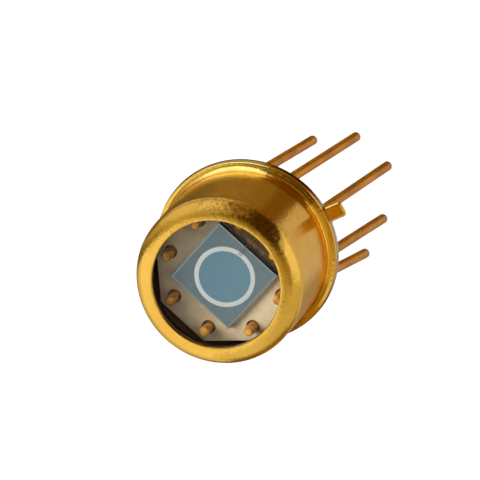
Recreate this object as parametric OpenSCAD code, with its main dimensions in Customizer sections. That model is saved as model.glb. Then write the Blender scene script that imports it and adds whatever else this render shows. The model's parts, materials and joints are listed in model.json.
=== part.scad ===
// Photodetector in an eight-lead metal can: a square photodiode behind a flat window, with its amplifier below it.
// The origin is the centre of the seating plane, under the header's flange. +Z points to the window.
// The index tab lies on +X, and the leads are counted from it, anticlockwise seen from the window.

/* [Leads] */
// Diameter of the circle that the leads stand on
pin_circle_d = 5.84; // [5.2:0.02:6.4]
// Diameter of a plated lead
lead_d = 0.48; // [0.4:0.01:0.5]
// Thickness of the plating on a lead outside the glass
plating_t = 0.005; // [0.002:0.001:0.01]
// Length of a lead below the seating plane
lead_l = 12.7; // [8:0.1:19]
// Straight length of a lead below the seating plane, before it bends
lead_stub = 0.5; // [0.45:0.05:2]
// Radius of the bend below the stub
lead_bend_r = 1; // [0.8:0.1:3]
// Lean of the leads below the bend, in degrees
lead_lean = 6.6; // [0:0.1:10]
// Direction of that lean, in degrees from the index tab
lead_lean_dir = -60; // [-180:1:180]
// Chamfer round each end of a lead
lead_chamfer = 0.07; // [0.03:0.01:0.12]
// Height of the lead tops above the detector ceramic
lead_proud = 0.87; // [0.6:0.01:1.1]

/* [Header] */
// Diameter of the glass round a lead
seal_d = 0.9; // [0.8:0.02:1.1]
// Width of the eyelet's floor between that glass and the eyelet's wall
seal_margin = 0.07; // [0.06:0.01:0.15]
// Depth of the glass inside the eyelet's mouth
seal_recess = 0.1; // [0.05:0.01:0.2]
// Sheet thickness of the eyelet
eyelet_t = 0.25; // [0.2:0.01:0.3]
// Height of the eyelet's top above the seating plane
eyelet_h = 1.5; // [1.2:0.05:1.8]
// Outer radius round the eyelet's top
eyelet_edge_r = 0.3; // [0.15:0.05:0.4]
// Fillet between the eyelet's wall and the flange
eyelet_root_r = 0.12; // [0.05:0.01:0.15]
// Thickness of the header's flange
header_flange_t = 0.26; // [0.22:0.01:0.36]
// Width of the flange outside the cap's wall
flange_w = 0.42; // [0.41:0.01:0.6]
// Rounding of the flange's outer edges
flange_edge_r = 0.05; // [0.02:0.01:0.08]

/* [Index tab] */
// Reach of the tab beyond the flange
tab_l = 0.85; // [0.6:0.01:1.1]
// Width of the tab
tab_w = 0.76; // [0.6:0.01:0.9]
// Radius of the tab's outer corners
tab_corner_r = 0.16; // [0.05:0.01:0.25]

/* [Cap] */
// Sheet thickness of the cap
cap_wall = 0.25; // [0.2:0.01:0.3]
// Gap between the eyelet and the cap's wall
eyelet_gap = 0.23; // [0.18:0.01:0.3]
// Outer radius of the cap's shoulder
cap_shoulder_r = 0.78; // [0.6:0.01:0.8]
// Inner radius of the cap's shoulder
cap_corner_r = 0.4; // [0.3:0.01:0.5]
// Fillet between the cap's wall and its weld flange
cap_root_r = 0.3; // [0.15:0.01:0.32]
// Rounding of the cap's mouth, inside the weld flange
cap_mouth_r = 0.14; // [0.05:0.01:0.18]
// Distance of the weld flange's edge from the header flange's edge
cap_flange_inset = 0.04; // [0:0.01:0.08]
// Width of the cap's front from the outside of its wall to the aperture
lip_w = 0.97; // [0.93:0.005:1.1]
// Rounding of the aperture's front edge
lip_edge_r = 0.07; // [0.05:0.01:0.12]

/* [Window] */
// Thickness of the window
window_t = 0.7; // [0.5:0.01:0.9]
// Gap between the window's rim and the round of the cap's inner corner
window_gap = 0.05; // [0.02:0.01:0.1]
// Gap between the lead tops and the window
window_clearance = 0.3; // [0.2:0.01:0.6]
// Height of the solder glass's lower edge above the window's inner face
window_seal_rise = 0.12; // [0.05:0.01:0.2]

/* [Detector] */
// Gap between the ceramics' corners and the cap
substrate_gap = 0.24; // [0.15:0.01:0.35]
// Thickness of the detector ceramic
substrate_t = 0.63; // [0.4:0.01:0.8]
// Radial gap round a lead in a ceramic
hole_clearance = 0.09; // [0.06:0.005:0.15]
// Side of the photodiode die
die_w = 3.78; // [3.3:0.02:3.9]
// Thickness of the photodiode die
die_t = 0.36; // [0.25:0.01:0.45]
// Thickness of the layer under the die
die_attach_t = 0.03; // [0.02:0.005:0.06]
// Width of that layer outside the die
die_attach_w = 0.05; // [0.02:0.01:0.1]
// Inner diameter of the contact ring round the active area
ring_in_d = 2.6; // [2.3:0.02:2.7]
// Width of the contact ring
ring_w = 0.225; // [0.15:0.005:0.26]
// Shift of the contact ring from the die's middle
ring_shift = -0.06; // [-0.1:0.01:0.1]
// Width of the metal line along the die's edge
border_w = 0.05; // [0.03:0.01:0.1]
// Distance of that line from the die's edge
border_inset = 0.02; // [0.01:0.005:0.04]
// Thickness of the metal films
film_t = 0.012; // [0.008:0.001:0.02]

/* [Bond wires] */
// Diameter of a bond wire
wire_d = 0.03; // [0.02:0.005:0.03]
// Angle that a wire's loop sweeps, in degrees
wire_sweep = 150; // [120:5:170]
// Distance between the two wires on the photodiode
wire_pitch = 0.12; // [0.12:0.005:0.16]
// Shift of the two wires from the die's middle
wire_shift = 0.1; // [-0.1:0.01:0.2]
// Distance of the wires' outer feet from the die's edge
wire_reach = 0.42; // [0.38:0.01:0.6]
// Gap between the two pads that the wires land on
pad_gap = 0.04; // [0.03:0.005:0.05]

/* [Amplifier level] */
// Thickness of the circuit ceramic
circuit_t = 0.4; // [0.3:0.01:0.5]
// Height of the standoffs between the ceramics
standoff_h = 1.4; // [1.1:0.05:1.7]
// Diameter of a standoff
standoff_d = 0.8; // [0.6:0.02:1]
// Distance of the standoffs inside the pin circle
standoff_inset = 0.3; // [0.2:0.01:0.4]
// Side of the amplifier die
amp_w = 1.5; // [1.2:0.05:1.8]
// Thickness of the amplifier die
amp_t = 0.3; // [0.2:0.01:0.4]
// Distance of the wires' inner feet from the amplifier die's edge
amp_pad_inset = 0.12; // [0.08:0.01:0.2]
// Gap between the amplifier die's corners and the conductors
amp_gap = 0.3; // [0.2:0.01:0.4]
// Width of a film conductor
trace_w = 0.25; // [0.15:0.01:0.3]
// Width of the film round a lead's hole
land_w = 0.12; // [0.08:0.01:0.15]
// Height of the solder round a lead
solder_h = 0.16; // [0.1:0.01:0.2]

/* [Hidden] */
$fn = 96;
wire_fn = 24;
// Overrun of the cutting shapes
cut = 1;

// Leads, their angles from the tab and their extra lean: along the common lean, then across it
lead_n = 8;
lead_step = 360 / lead_n;
// The dies and the standoffs lie midway between two leads
die_turn = lead_step / 2;
// A lead is a hair thicker round its bend, which laps over the straight lengths by a small angle
bend_swell = 0.003;
bend_lap = 2;
lean_trim = [[0, 1.4], [0.4, 0.8], [-0.8, -1.6], [0, 0.2], [0.2, -0.4], [1.8, -1.1], [-0.8, -1.9], [-0.5, 1.3]];
pin_r = pin_circle_d / 2;
lead_r = lead_d / 2;
core_r = lead_r - plating_t;

// Radii from the pin circle outwards
eyelet_in_r = pin_r + seal_d / 2 + seal_margin;
eyelet_r = eyelet_in_r + eyelet_t;
eyelet_corner_r = max(eyelet_edge_r - eyelet_t, 0.05);
cap_in_r = eyelet_r + eyelet_gap;
cap_r = cap_in_r + cap_wall;
flange_r = cap_r + flange_w;
cap_flange_r = flange_r - cap_flange_inset;
aperture_r = cap_r - lip_w;
window_r = cap_in_r - cap_corner_r - window_gap;
octagon_r = cap_in_r - substrate_gap;
hole_r = lead_r + hole_clearance;
land_r = hole_r + land_w;

// Heights from the seating plane upwards
cap_z = header_flange_t;
cap_flange_top = cap_z + cap_wall;
circuit_top = eyelet_h + circuit_t;
substrate_z = circuit_top + standoff_h;
substrate_top = substrate_z + substrate_t;
die_z = substrate_top + die_attach_t;
die_top = die_z + die_t;
lead_top = substrate_top + lead_proud;
window_z = lead_top + window_clearance;
window_top = window_z + window_t;
cap_top = window_top + cap_wall;

// Wire feet and pads, in the die's own turn
foot_d = 2.2 * wire_d;
foot_h = wire_d;
ring_r = ring_in_d / 2 + ring_w;
ring_mid_r = ring_r - ring_w / 2;
border_out = die_w / 2 - border_inset;
border_in = border_out - border_w;
wire_land_u = die_w / 2 + wire_reach;
wire_n = 2;
standoff_n = 4;

// Amplifier wires run out along the leads' own directions
amp_pad_r = (amp_w / 2 - amp_pad_inset) / cos(die_turn);
trace_in_r = norm([amp_w, amp_w]) / 2 + amp_gap;
amp_land_r = trace_in_r + foot_d;

GOLD = [0.86, 0.66, 0.22];
DARK_GOLD = [0.66, 0.46, 0.14];
GLASS = [0.75, 0.82, 0.85, 0.35];
SEAL = [0.25, 0.3, 0.35];
CERAMIC = [0.85, 0.82, 0.74];
SILICON = [0.4, 0.52, 0.57];
FILM = [0.8, 0.83, 0.83];
SOLDER = [0.7, 0.7, 0.72];

// Half section of a round solid, from z0 to z1, with its upper edge rounded
module round_section(r, z0, z1, edge_r) {
    translate([0, z0]) square([r, z1 - z0 - edge_r]);
    translate([0, z0]) square([r - edge_r, z1 - z0]);
    translate([r - edge_r, z1 - edge_r]) circle(edge_r);
}

// Space between a square corner at the origin and a circle that touches both its sides
module corner(r) {
    difference() {
        square(r);
        translate([r, r]) circle(r);
    }
}

// Half section of a flange, with both outer edges rounded
module flange_section(r, z0, z1) {
    difference() {
        translate([0, z0]) square([r, z1 - z0]);
        translate([r, z0]) mirror([1, 0]) corner(flange_edge_r);
        translate([r, z1]) mirror([0, 1]) mirror([1, 0]) corner(flange_edge_r);
    }
}

// Places its children at each lead, numbered from the tab
module at_leads(numbers = [1 : lead_n]) {
    for (k = numbers) rotate([0, 0, k * lead_step]) translate([pin_r, 0, 0]) children();
}

// Outline of the tab with rounded outer corners, from inside the flange
module tab_outline() {
    tab_end = flange_r + tab_l;
    tab_start = flange_r - flange_w / 2;
    translate([tab_start, -tab_w / 2]) square([tab_end - tab_corner_r - tab_start, tab_w]);
    translate([tab_start, tab_corner_r - tab_w / 2]) square([tab_end - tab_start, tab_w - 2 * tab_corner_r]);
    for (side = [-1, 1])
        translate([tab_end - tab_corner_r, side * (tab_w / 2 - tab_corner_r)]) circle(tab_corner_r);
}

// Drawn eyelet with its flange and tab
module header() {
    color(GOLD) difference() {
        union() {
            rotate_extrude() difference() {
                union() {
                    flange_section(flange_r, 0, header_flange_t);
                    round_section(eyelet_r, 0, eyelet_h, eyelet_edge_r);
                    translate([eyelet_r, header_flange_t]) corner(eyelet_root_r);
                }
                round_section(eyelet_in_r, -cut, eyelet_h - eyelet_t, eyelet_corner_r);
            }
            linear_extrude(header_flange_t) tab_outline();
        }
        at_leads() cylinder(h = eyelet_h + cut, d = seal_d);
    }
}

// Glass that fills the eyelet and comes up round each lead
module seal_glass() {
    color(SEAL) difference() {
        union() {
            rotate_extrude() round_section(eyelet_in_r, seal_recess, eyelet_h - eyelet_t, eyelet_corner_r);
            at_leads() translate([0, 0, eyelet_h - 2 * eyelet_t]) cylinder(h = 2 * eyelet_t, d = seal_d);
        }
        at_leads() cylinder(h = eyelet_h + cut, r = core_r);
    }
}

// Straight plated length of a lead down from the origin, with a chamfered lower end
module lead_run(length) {
    translate([0, 0, lead_chamfer - length]) cylinder(h = length - lead_chamfer, r = lead_r);
    translate([0, 0, -length]) cylinder(h = lead_chamfer, r1 = lead_r - lead_chamfer, r2 = lead_r);
}

// Lead: stub below the seating plane, core in the glass, post inside the can, bend and leaning run
module lead(k) {
    along = lead_lean + lean_trim[k - 1][0];
    across = lean_trim[k - 1][1];
    lean = norm([along, across]);
    lean_dir = lead_lean_dir + atan2(across, along);
    bend_l = lead_bend_r * lean * PI / 180;
    foot = [lead_bend_r * (1 - cos(lean)), 0, -lead_stub - lead_bend_r * sin(lean)];
    color(DARK_GOLD) rotate([0, 0, k * lead_step]) translate([pin_r, 0, 0]) rotate([0, 0, -k * lead_step]) {
        translate([0, 0, -lead_stub]) cylinder(h = lead_stub, r = lead_r);
        translate([0, 0, -lead_stub]) cylinder(h = eyelet_h + lead_stub, r = core_r);
        translate([0, 0, eyelet_h]) mirror([0, 0, 1]) lead_run(lead_top - eyelet_h);
        rotate([0, 0, lean_dir]) {
            translate([lead_bend_r, 0, -lead_stub]) rotate([90, 0, 0]) rotate([0, 0, 180 - bend_lap])
                rotate_extrude(angle = lean + 2 * bend_lap) translate([lead_bend_r, 0]) circle(lead_r + bend_swell);
            translate(foot) rotate([0, -lean, 0]) lead_run(lead_l - lead_stub - bend_l);
        }
    }
}

// Drawn can with its shoulder, aperture and weld flange
module cap() {
    color(GOLD) rotate_extrude() difference() {
        union() {
            round_section(cap_r, cap_z, cap_top, cap_shoulder_r);
            flange_section(cap_flange_r, cap_z, cap_flange_top);
            translate([cap_r, cap_flange_top]) corner(cap_root_r);
        }
        round_section(cap_in_r, cap_z - cut, window_top, cap_corner_r);
        translate([0, cap_z]) square([aperture_r, cap_top]);
        translate([aperture_r, cap_top]) mirror([0, 1]) corner(lip_edge_r);
        translate([cap_in_r, cap_z]) corner(cap_mouth_r);
    }
}

// Flat window under the cap's lip
module window() {
    color(GLASS) translate([0, 0, window_z]) cylinder(h = window_t, r = window_r);
}

// Solder glass between the window's rim and the cap
module window_seal() {
    color(SEAL) rotate_extrude() difference() {
        round_section(cap_in_r, window_z + window_seal_rise, window_top, cap_corner_r);
        translate([0, window_z]) square([window_r, window_t]);
    }
}

// Octagonal ceramic with a clearance hole for each lead
module octagon_blank(t) {
    difference() {
        cylinder(h = t, r = octagon_r, $fn = lead_n);
        at_leads() translate([0, 0, -cut]) cylinder(h = t + 2 * cut, r = hole_r);
    }
}

// Solder on the film round a lead, from the ceramic's top: it rises round the lead and sags into the lead's hole
module solder_joint(ceramic_top) {
    top = ceramic_top + film_t;
    rotate_extrude() polygon([
        [lead_r, top - hole_clearance], [hole_r, top], [land_r - film_t, top], [lead_r, top + solder_h]
    ]);
}

// Bond wire in the XZ plane, from a foot on the origin to a foot on [span, -drop]
module bond_wire(span, drop) {
    chord = norm([span, drop]);
    loop_r = chord / (2 * sin(wire_sweep / 2));
    dip = loop_r * cos(wire_sweep / 2) / chord;
    loop_x = span / 2 - dip * drop;
    loop_z = foot_h / 2 - drop / 2 - dip * span;
    start = atan2(foot_h / 2 - drop - loop_z, span - loop_x);
    cylinder(h = foot_h, d = foot_d, $fn = wire_fn);
    translate([span, 0, -drop]) cylinder(h = foot_h, d = foot_d, $fn = wire_fn);
    translate([loop_x, 0, loop_z]) rotate([90, 0, 0]) rotate([0, 0, start])
        rotate_extrude(angle = wire_sweep) translate([loop_r, 0]) circle(d = wire_d, $fn = wire_fn);
}

// Ceramic on the header that carries the amplifier
module circuit_substrate() {
    color(CERAMIC) translate([0, 0, eyelet_h]) octagon_blank(circuit_t);
}

// Film conductors from the amplifier's wires to the leads
module circuit_traces() {
    color(GOLD) translate([0, 0, circuit_top]) linear_extrude(film_t)
        for (k = [1 : lead_n]) rotate(k * lead_step) difference() {
            union() {
                translate([pin_r, 0]) circle(land_r);
                translate([trace_in_r, -trace_w / 2]) square([pin_r - trace_in_r, trace_w]);
            }
            translate([pin_r, 0]) circle(hole_r);
        }
}

// Solder round the leads on the circuit ceramic
module circuit_solder() {
    color(SOLDER) at_leads() solder_joint(circuit_top);
}

// Amplifier chip
module amplifier_die() {
    color(SILICON) translate([0, 0, circuit_top]) rotate(die_turn) translate([-amp_w / 2, -amp_w / 2, 0])
        cube([amp_w, amp_w, amp_t]);
}

// Wires from the amplifier chip to the conductors
module amplifier_wires() {
    color(GOLD) for (k = [1 : lead_n]) rotate([0, 0, k * lead_step]) translate([amp_pad_r, 0, circuit_top + amp_t])
        bond_wire(amp_land_r - amp_pad_r, amp_t - film_t);
}

// Pillar between the two ceramics, midway between two leads
module standoff(k) {
    color(CERAMIC) rotate([0, 0, die_turn + k * 360 / standoff_n])
        translate([pin_r - standoff_inset, 0, circuit_top]) cylinder(h = standoff_h, d = standoff_d);
}

// Ceramic that carries the photodiode
module detector_substrate() {
    color(CERAMIC) translate([0, 0, substrate_z]) octagon_blank(substrate_t);
}

// Distance of a bond wire from the die's middle line: the first wire is on the side of lead 1, the second of lead 8
function wire_v(k) = wire_shift + (3 - 2 * k) * wire_pitch / 2;

// Conductor from a bond wire's outer foot to the nearer lead, in the die's own turn
module wire_trace(k) {
    side = 3 - 2 * k;
    lead_u = pin_r * cos(lead_step / 2);
    lead_v = side * pin_r * sin(lead_step / 2);
    pad_v = wire_v(k) - side * (wire_pitch - pad_gap) / 2;
    difference() {
        union() {
            translate([lead_u, lead_v]) circle(land_r);
            translate([wire_land_u, (lead_v + pad_v) / 2]) square([trace_w, abs(lead_v - pad_v)], center = true);
        }
        translate([lead_u, lead_v]) circle(hole_r);
    }
}

// Film conductors on the detector ceramic
module detector_traces() {
    color(GOLD) translate([0, 0, substrate_top]) rotate(die_turn) linear_extrude(film_t)
        for (k = [1 : wire_n]) wire_trace(k);
}

// Solder round the two leads that the photodiode's conductors run to
module detector_solder() {
    color(SOLDER) at_leads([1, lead_n]) solder_joint(substrate_top);
}

// Conductive layer that holds the photodiode
module die_attach() {
    side = die_w + 2 * die_attach_w;
    color(SOLDER) translate([0, 0, substrate_top]) rotate(die_turn) translate([-side / 2, -side / 2, 0])
        cube([side, side, die_attach_t]);
}

// Photodiode chip
module photodiode_die() {
    color(SILICON) translate([0, 0, die_z]) rotate(die_turn) translate([-die_w / 2, -die_w / 2, 0])
        cube([die_w, die_w, die_t]);
}

// Metal film on the photodiode: the ring and the line along the edge
module contact_metal() {
    color(FILM) translate([0, 0, die_top]) rotate(die_turn) linear_extrude(film_t) {
        translate([0, ring_shift]) difference() {
            circle(ring_r);
            circle(d = ring_in_d);
        }
        difference() {
            square(2 * border_out, center = true);
            square(2 * border_in, center = true);
        }
    }
}

// Wire from the contact ring over the die's edge to its conductor
module photodiode_wire(k) {
    ring_u = sqrt(pow(ring_mid_r, 2) - pow(wire_v(k) - ring_shift, 2));
    color(GOLD) rotate([0, 0, die_turn]) translate([ring_u, wire_v(k), die_top + film_t])
        bond_wire(wire_land_u - ring_u, die_top - substrate_top);
}

header();
seal_glass();
for (k = [1 : lead_n])
    lead(k);
cap();
window();
window_seal();
circuit_substrate();
circuit_traces();
circuit_solder();
amplifier_die();
amplifier_wires();
for (k = [1 : standoff_n])
    standoff(k);
detector_substrate();
detector_traces();
detector_solder();
die_attach();
photodiode_die();
contact_metal();
for (k = [1 : wire_n])
    photodiode_wire(k);
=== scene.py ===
"""Looks of a photodetector in an eight-lead metal can, built round its packed solids."""

import json
import math

import bmesh
import bpy
from bpy.props import FloatProperty, FloatVectorProperty, IntProperty, PointerProperty
from mathutils import Matrix, Vector


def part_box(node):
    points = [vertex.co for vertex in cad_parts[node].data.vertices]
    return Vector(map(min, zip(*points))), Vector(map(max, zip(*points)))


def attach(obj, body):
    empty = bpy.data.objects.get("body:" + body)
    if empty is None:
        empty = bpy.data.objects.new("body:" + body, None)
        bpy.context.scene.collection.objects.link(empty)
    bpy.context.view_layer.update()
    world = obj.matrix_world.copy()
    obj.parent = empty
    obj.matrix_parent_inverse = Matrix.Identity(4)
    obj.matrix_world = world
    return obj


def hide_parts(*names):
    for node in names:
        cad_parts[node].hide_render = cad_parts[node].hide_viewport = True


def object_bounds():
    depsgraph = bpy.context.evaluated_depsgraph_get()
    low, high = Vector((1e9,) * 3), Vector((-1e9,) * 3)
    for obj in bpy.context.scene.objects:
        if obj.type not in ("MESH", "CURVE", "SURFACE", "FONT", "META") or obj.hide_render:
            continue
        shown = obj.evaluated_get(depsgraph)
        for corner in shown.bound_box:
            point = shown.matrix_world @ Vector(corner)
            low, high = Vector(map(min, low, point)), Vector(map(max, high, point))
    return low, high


bl_info = {
    "name": "Metal-Can Photodetector",
    "version": (1, 0, 0),
    "blender": (4, 5, 0),
    "location": "View3D > Sidebar > Photodetector",
    "description": "Builds the pieces of a metal-can photodetector and the stage that it stands on",
    "category": "Object",
}

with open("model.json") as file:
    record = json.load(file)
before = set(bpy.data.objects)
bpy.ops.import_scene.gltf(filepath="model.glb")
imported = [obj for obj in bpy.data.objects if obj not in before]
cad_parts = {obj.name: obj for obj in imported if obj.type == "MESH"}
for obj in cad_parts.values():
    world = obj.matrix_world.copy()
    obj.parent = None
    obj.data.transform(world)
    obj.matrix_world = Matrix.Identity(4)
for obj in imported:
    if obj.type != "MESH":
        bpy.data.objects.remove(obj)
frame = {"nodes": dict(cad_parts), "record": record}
CAD_LOW, CAD_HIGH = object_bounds()

MM = 0.001
BODY = "root"
LEADS = 8
STANDOFFS = 4
# The chip lies midway between two leads, and its wires are counted like the leads
DIE_TURN = math.radians(22.5)
WIRES = (1, 2)
# Edges flatter than this are shaded smooth
SHARP = math.radians(40)
# Faces round the small forms, and steps along bends and rounded ends
SEAL_SIDES, CERAMIC_HOLE_SIDES, RING_SIDES, FOOT_SIDES, WIRE_SIDES = 48, 64, 128, 24, 12
MENISCUS_STEPS, END_STEPS, BEND_STEPS, WIRE_STEPS = 5, 5, 6, 24
# Depth of the bands at a lead's two ends whose corners give its centre there
TOP_BAND, TIP_BAND = 0.2 * MM, 0.03 * MM
# Rounds in which a lead's lower end is found, and depth of the run's foot as a share of the bend's radius
TIP_ROUNDS, FOOT_DROP = 3, 0.1
# Worn side of the header's edge, from the tab, and the shares of the radius between which the wear sets in
WORN_SIDE, WORN_SHARES = math.radians(-20), (0.78, 0.93)
# Tarnished side of the cap, from the tab, and the distances and heights in mm between which the tarnish sets in
TARNISHED_SIDE, TARNISH_REACH, TARNISH_HEIGHT = math.radians(46), (3.0, 3.9), (4.8, 5.6)
# Heights in mm between which the can's finish grows duller, and between which a lead's plating becomes its post's
DULLING_HEIGHT, POST_HEIGHT = (0.8, 5.6), (1.0, 2.0)
# Width of the camera's sensor in mm, and the distances in metres between which the camera sees
SENSOR, CLIP = 36.0, (0.01, 10.0)


def number(name, description, value, **options):
    """A property for a plain number."""
    return FloatProperty(name=name, description=description, default=value, **options)


def length(name, description, millimetres):
    """A property for a length, given in millimetres and kept in metres."""
    return number(name, description, millimetres * MM, min=0.0, subtype="DISTANCE", unit="LENGTH")


def angle(name, description, degrees):
    """A property for an angle, given in degrees and kept in radians."""
    return number(name, description, math.radians(degrees), subtype="ANGLE", unit="ROTATION")


def colour(name, description, value):
    """A property for a linear colour."""
    return FloatVectorProperty(
        name=name, description=description, default=value, size=3, min=0.0, max=1.0, subtype="COLOR"
    )


def factor(name, description, value, highest=1.0):
    """A property for a factor."""
    return number(name, description, value, min=0.0, max=highest, subtype="FACTOR")


class PhotodetectorShape(bpy.types.PropertyGroup):
    """Roundings and small widths that the packed boxes don't give."""

    segments: IntProperty(name="Segments", description="Faces round a turned piece", default=256, min=32)
    rim_steps: IntProperty(name="Rim Steps", description="Faces over a rounded rim", default=6, min=2)
    shoulder: length("Shoulder", "Outer radius of the cap's shoulder", 0.78)
    corner: length("Corner", "Inner radius of the cap's shoulder", 0.4)
    root: length("Root", "Fillet between the cap's wall and its weld flange", 0.3)
    lip_edge: length("Lip Edge", "Rounding of the aperture's front edge", 0.07)
    mouth: length("Mouth", "Rounding of the cap's mouth", 0.14)
    flange_edge: length("Flange Edge", "Rounding of the flanges' outer edges", 0.05)
    eyelet_sheet: length("Eyelet Sheet", "Sheet thickness of the eyelet", 0.25)
    eyelet_edge: length("Eyelet Edge", "Rounding of the eyelet's top", 0.3)
    seal_diameter: length("Seal", "Diameter of the glass round a lead", 0.9)
    meniscus: length("Meniscus", "Height that the glass creeps along a lead", 0.07)
    tab_width: length("Tab Width", "Width of the index tab", 0.76)
    tab_corner: length("Tab Corner", "Radius of the tab's outer corners", 0.16)
    header_edge: length("Header Edge", "Rounding of the header's outer edge", 0.09)
    tab_root: length("Tab Root", "Fillet between the tab and the flange", 0.12)
    window_edge: length("Window Edge", "Ground edge of the window", 0.05)
    hole_gap: length("Hole Gap", "Radial gap round a lead in the ceramic", 0.09)
    ceramic_edge: length("Ceramic Edge", "Rounding of the ceramic's edges", 0.03)
    chip_edge: length("Chip Edge", "Rounding of the chip's edges", 0.012)
    ring_diameter: length("Ring", "Inner diameter of the contact ring", 2.6)
    ring_width: length("Ring Width", "Width of the contact ring", 0.225)
    ring_shift: length("Ring Shift", "Shift of the ring from the chip's middle, to the last lead's side", 0.06)
    border_width: length("Border Width", "Width of the line along the chip's edge", 0.05)


class PhotodetectorLeads(bpy.types.PropertyGroup):
    """Form of the leads."""

    diameter: length("Diameter", "Diameter of a plated lead", 0.48)
    stub: length("Stub", "Straight length below the seating plane", 0.5)
    bend: length("Bend", "Radius of the bend below the stub", 1.0)
    end: length("End", "Rounding of a lead's ends", 0.09)
    sides: IntProperty(name="Sides", description="Faces round a lead", default=32, min=8)
    wire_diameter: length("Wire", "Diameter of a bond wire", 0.03)
    wire_foot: length("Wire Foot", "Diameter of a bond wire's foot", 0.066)
    wire_sweep: angle("Wire Sweep", "Angle that a bond wire's loop sweeps", 150)


class PhotodetectorFinish(bpy.types.PropertyGroup):
    """Colours of the surfaces, linear."""

    gold: colour("Gold", "Plating of the can", (0.9, 0.53, 0.07))
    # Painted shade: the bore colour darkens the inside of the cap, besides its duller plating, so that the gap round
    # the ceramic looks dark
    bore: colour("Bore", "Dull inside of the cap", (0.5, 0.18, 0.02))
    aperture: colour("Aperture", "Dark inner edge of the aperture", (0.13, 0.07, 0.02))
    gold_dark: colour("Dark Gold", "Duller patches of the can's plating", (0.84, 0.465, 0.05))
    speck: colour("Speck", "Tarnish specks of the can's plating", (0.55, 0.3, 0.035))
    lead: colour("Lead", "Plating of the leads", (0.78, 0.3, 0.003))
    post: colour("Post", "Dull plating of the leads inside the can", (0.92, 0.43, 0.06))
    post_dark: colour("Dark Post", "Duller patches there", (0.45, 0.2, 0.04))
    lead_dark: colour("Dark Lead", "Duller patches of the leads' plating", (0.46, 0.165, 0.002))
    ceramic: colour("Ceramic", "Fired ceramic", (0.82, 0.66, 0.41))
    ceramic_dark: colour("Dark Ceramic", "Stains on the ceramic", (0.62, 0.47, 0.28))
    # Painted shade: the land colours are a metal film darkened further with the painted shadow of the lip and the
    # chip
    land: colour("Land", "Darkened metal film beside the chip", (0.3, 0.18, 0.06))
    land_dark: colour("Dark Land", "Darker patches there", (0.07, 0.045, 0.02))
    chip: colour("Chip", "Coated silicon", (0.14, 0.19, 0.207))
    chip_active: colour("Active Area", "Coated silicon inside the ring", (0.13, 0.24, 0.303))
    film: colour("Film", "Metal film on the chip", (0.86, 0.91, 0.9))
    film_edge: colour("Film Edge", "Duller metal line along the chip's edge", (0.42, 0.45, 0.43))
    chip_side: colour("Chip Side", "Sawn sides of the chip", (0.05, 0.044, 0.036))
    rim: colour("Rim", "Worn side of the header's edge", (0.5, 0.48, 0.46))
    # The header's outer edge is plain dark away from its worn side
    rim_dark: colour("Dark Rim", "Darkened edge of the header", (0.17, 0.085, 0.012))
    # Painted shade: the trace colour is gold film darkened to the shade of the lip and the chip beside the chip
    trace: colour("Trace", "Fired gold film", (0.2, 0.11, 0.03))
    window_seal: colour("Window Seal", "Solder glass round the window", (0.02, 0.012, 0.006))
    wire: colour("Wire", "Bond wires", (0.5, 0.5, 0.46))
    # Painted shade on the bond wires' outer ends
    wire_painted_shade: colour("Dark Wire", "Bond wires past the chip's edge", (0.14, 0.11, 0.07))
    seal: colour("Seal Glass", "Dark sealing glass", (0.03, 0.04, 0.06))
    solder: colour("Solder", "Solder and die attach", (0.5, 0.48, 0.44))


class PhotodetectorStage(bpy.types.PropertyGroup):
    """Camera, lamps, light tent and floor."""

    image_size: number("Image", "Side of the square picture, in pixels", 480.0)
    seat_pixel: FloatVectorProperty(
        name="Seat", description="Pixel of the seating plane's centre", default=(248.15, 248.97), size=2
    )
    pixels_per_mm: number("Pixels per mm", "Scale at the seating plane", 20.5)
    distance: length("Distance", "Distance of the camera", 500)
    azimuth: angle("Azimuth", "Camera's side of the can, from the tab", 22.5)
    tilt: angle("Tilt", "Camera's angle from the can's axis", 22.58)
    roll: angle("Roll", "Turn of the picture", 47.7)
    lamp_distance: length("Lamp Distance", "Distance of the lamps from the can's middle", 300)
    floor_gap: length("Floor Gap", "Gap between the lead tips and the floor", 0.05)
    floor_size: length("Floor Size", "Side of the floor", 2400)
    tent_radius: length("Tent", "Radius of the light tent's first panel", 300)
    panel_gap: length("Panel Gap", "Distance between one panel and the next nearer one", 4)
    panel_steps: IntProperty(name="Panel Steps", description="Faces along a panel's side", default=16, min=2)
    floor: colour("Floor", "Colour of the floor", (0.9, 0.9, 0.9))
    floor_rough: factor("Floor Roughness", "Roughness of the floor", 0.9)
    floor_share: factor("Floor Share", "Share of the floor that shows plain white", 0.8)
    floor_white: factor("Floor White", "Brightness of that white", 1.14, 2.0)
    world_tint: colour("World Tint", "Colour of the surroundings", (1, 0.93, 0.8))
    world: factor("World", "Brightness of the surroundings", 0.36, 2.0)


def settings(group):
    """The scene's settings of one kind."""
    return getattr(bpy.context.scene, "photodetector_" + group)


def node_points(node):
    """Corners of a packed node, in metres."""
    return [v.co.copy() for v in frame["nodes"][node].data.vertices]


def node_radii(node):
    """Smallest and largest distance of a node's corners from the can's axis."""
    found = [math.hypot(p.x, p.y) for p in node_points(node)]
    return min(found), max(found)


def half_side(node):
    """Half the side of a square node that is centred on the can's axis."""
    return node_radii(node)[1] / math.sqrt(2)


def mount_radius(name):
    """Radius of a round mount in the packed record, in metres."""
    return next(m["dims"]["r_mm"] for m in frame["record"]["mounts"] if m["name"] == name) * MM


def lead_places():
    """Centre of each lead's post, in order of the lead numbers."""
    places = []
    for k in range(1, LEADS + 1):
        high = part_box(f"lead_{k}")[1]
        top = [p for p in node_points(f"lead_{k}") if p.z > high.z - TOP_BAND]
        places.append(sum(top, Vector()) / len(top))
    return places


def spread(first, last, steps):
    """Evenly spaced values from the first to the last."""
    return [first + (last - first) * i / steps for i in range(steps + 1)]


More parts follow.
